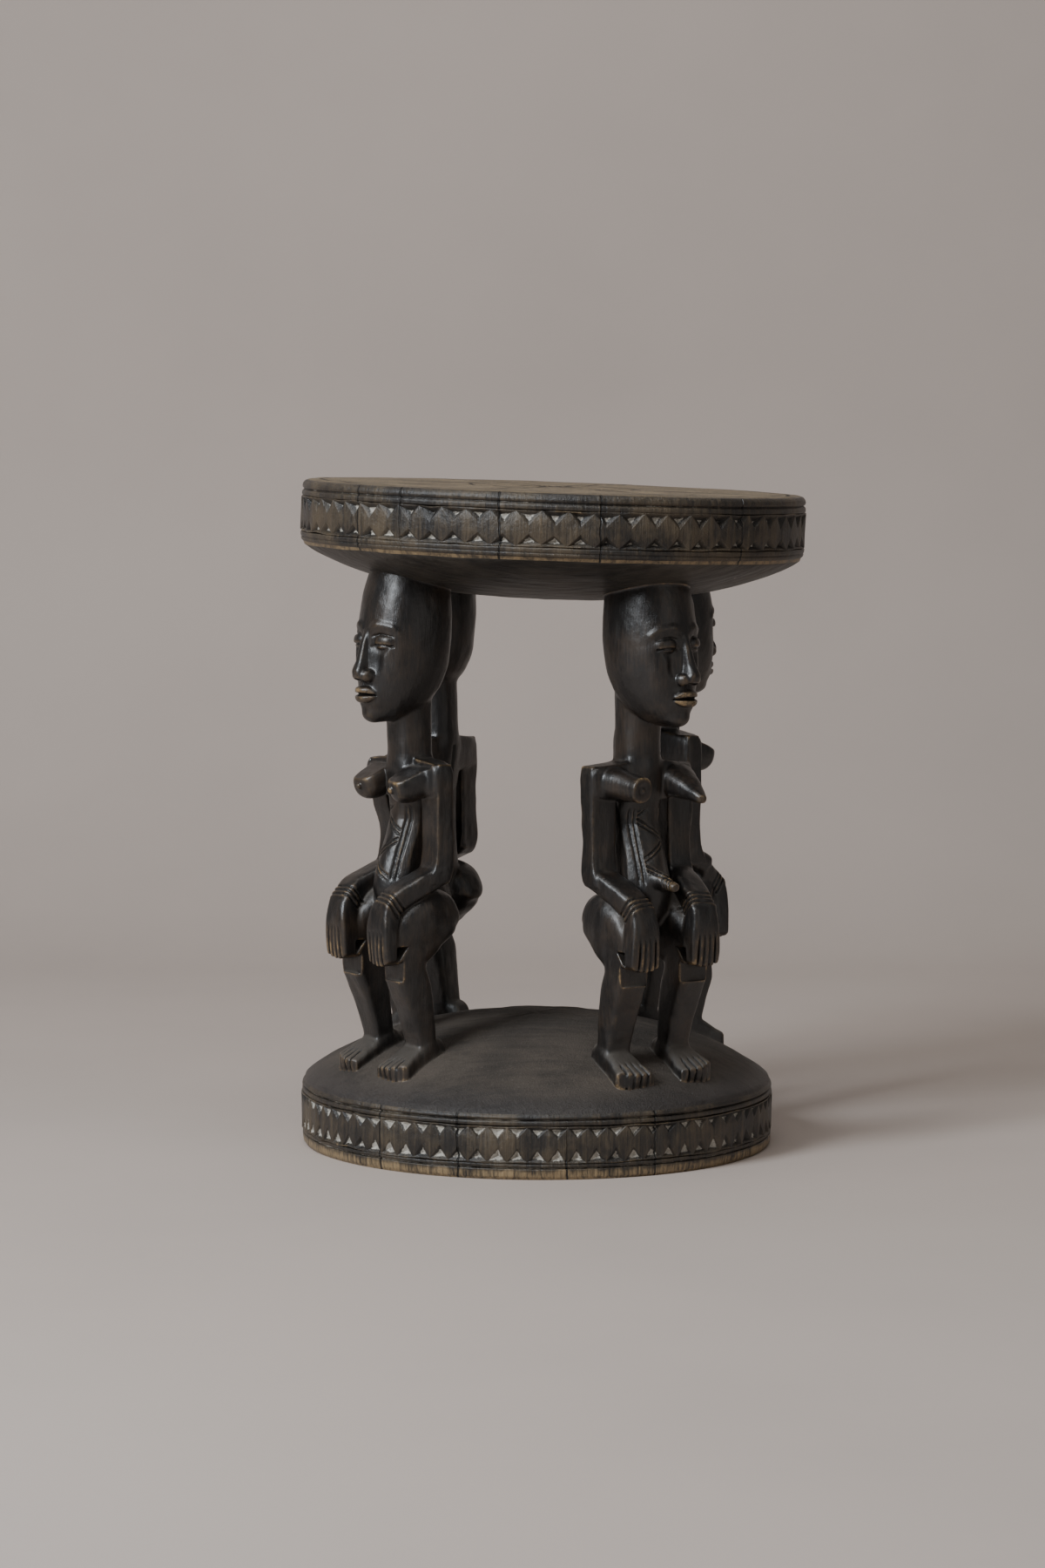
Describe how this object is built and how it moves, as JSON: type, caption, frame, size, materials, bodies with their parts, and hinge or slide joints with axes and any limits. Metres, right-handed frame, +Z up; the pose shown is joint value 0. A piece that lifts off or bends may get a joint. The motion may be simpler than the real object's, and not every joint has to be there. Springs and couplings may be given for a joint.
{
  "type": "carved side table",
  "caption": "Low round side table carved from one block of dark wood: a thick patterned top carried on the heads of squatting women on a domed round foot.",
  "frame": {"origin": "centre of the flat underside of the foot, on the floor", "axes": "+Z up, -Y towards the viewer of the picture, +X to the viewer's right"},
  "size_m": [0.383, 0.3824, 0.5061],
  "materials": {
    "dark_wood": "dark stained hardwood, polished by handling, worn pale at the edges"
  },
  "bodies": {
    "root": {"carved_table": "dark_wood"}
  },
  "joints": []
}
